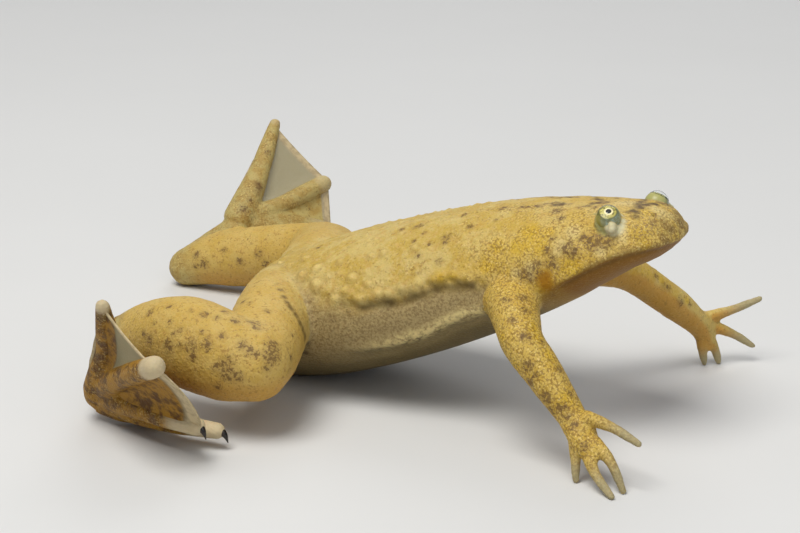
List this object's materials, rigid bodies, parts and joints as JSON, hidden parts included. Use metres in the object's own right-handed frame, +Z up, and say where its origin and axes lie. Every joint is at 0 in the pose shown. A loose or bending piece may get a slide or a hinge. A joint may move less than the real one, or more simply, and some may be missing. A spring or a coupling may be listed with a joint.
{
  "type": "western clawed frog model",
  "caption": "Life-size still model of a western clawed frog, propped on its hands with its head raised and both webbed hind feet spread.",
  "frame": {"origin": "middle of the frog's footprint, on the floor that it rests on", "axes": "+X towards the snout along the body, +Y to the frog's left, +Z up"},
  "size_m": [0.0626, 0.056, 0.0198],
  "materials": {
    "skin": "moist skin, ochre with dark brown speckles and blotches",
    "web_skin": "moist skin with thin pale webs",
    "eye": "wet, gold and green iris with a black pupil",
    "claw": "black horn"
  },
  "bodies": {
    "root": {"head": "skin", "torso": "skin", "upper_arm_right": "skin", "forearm_right": "skin", "hand_right": "skin", "upper_arm_left": "skin", "forearm_left": "skin", "hand_left": "skin", "thigh_right": "skin", "shank_right": "skin", "ankle_right": "skin", "foot_right": "web_skin", "thigh_left": "skin", "shank_left": "skin", "ankle_left": "skin", "foot_left": "web_skin", "eye_left": "eye", "eye_right": "eye", "claw_right_1": "claw", "claw_right_2": "claw", "claw_right_3": "claw", "claw_left_1": "claw", "claw_left_2": "claw", "claw_left_3": "claw"}
  },
  "joints": []
}
